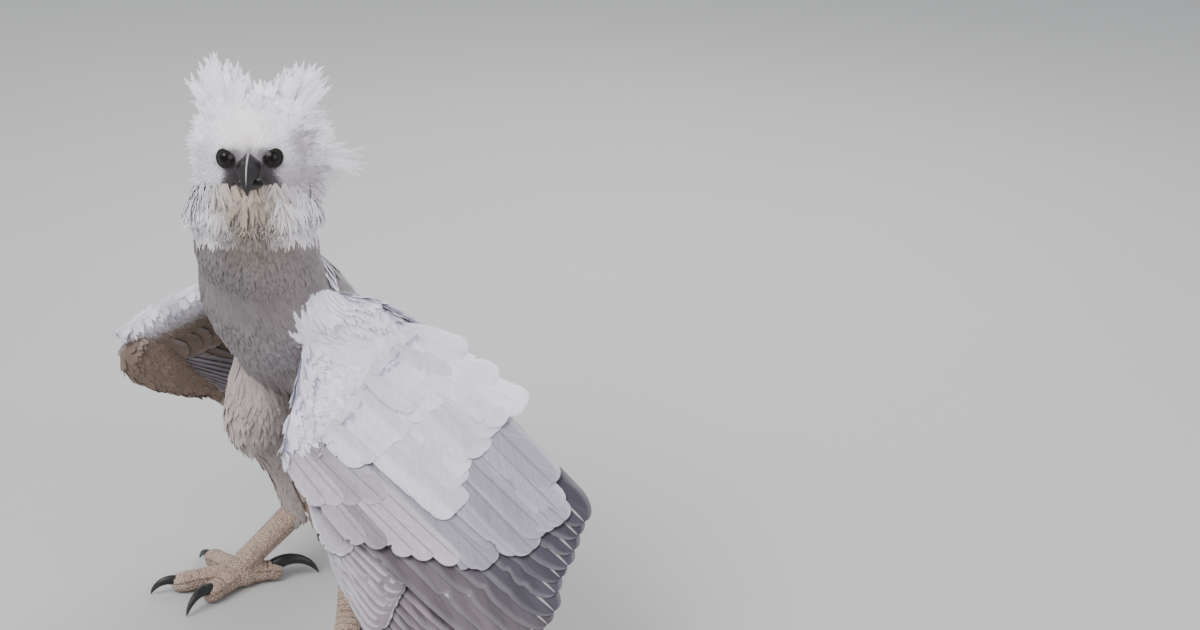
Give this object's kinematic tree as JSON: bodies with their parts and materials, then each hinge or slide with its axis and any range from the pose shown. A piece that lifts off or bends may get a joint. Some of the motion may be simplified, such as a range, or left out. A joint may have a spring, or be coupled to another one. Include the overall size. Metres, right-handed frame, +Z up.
{
  "type": "harpy eagle",
  "caption": "Standing crested eagle with its head turned, one wing half spread to the floor beside it and the other hanging, a hooked bill and long claws.",
  "frame": {"origin": "on the floor under the middle of the bird's box, wings and tail included", "axes": "+Z up, the trunk faces -Y, and +X is the bird's left, where its half spread wing reaches out"},
  "size_m": [0.7616, 0.7144, 0.6862],
  "materials": {
    "plumage": "matt feathers, near white with a faint lilac grey",
    "mantle": "matt feathers, pale brown grey",
    "flight": "smooth flight feathers, charcoal with pale edges and darker bars",
    "horn": "smooth dark horn of the bill and claws",
    "scale": "cream yellow scaled skin",
    "eye": "wet, near black eye"
  },
  "bodies": {
    "root": {"beak_lower": "horn", "beak_upper": "horn", "claw_left_hallux": "horn", "claw_left_inner": "horn", "claw_left_middle": "horn", "claw_left_outer": "horn", "claw_right_hallux": "horn", "claw_right_inner": "horn", "claw_right_middle": "horn", "claw_right_outer": "horn", "eye_left": "eye", "eye_right": "eye", "foot_left": "scale", "foot_right": "scale", "head": "plumage", "neck": "mantle", "tail": "flight", "tarsus_left": "scale", "tarsus_right": "scale", "thigh_left": "plumage", "thigh_right": "plumage", "torso": "mantle", "wing_left_arm": "mantle", "wing_left_hand": "flight", "wing_right_arm": "mantle", "wing_right_hand": "flight"}
  },
  "joints": []
}
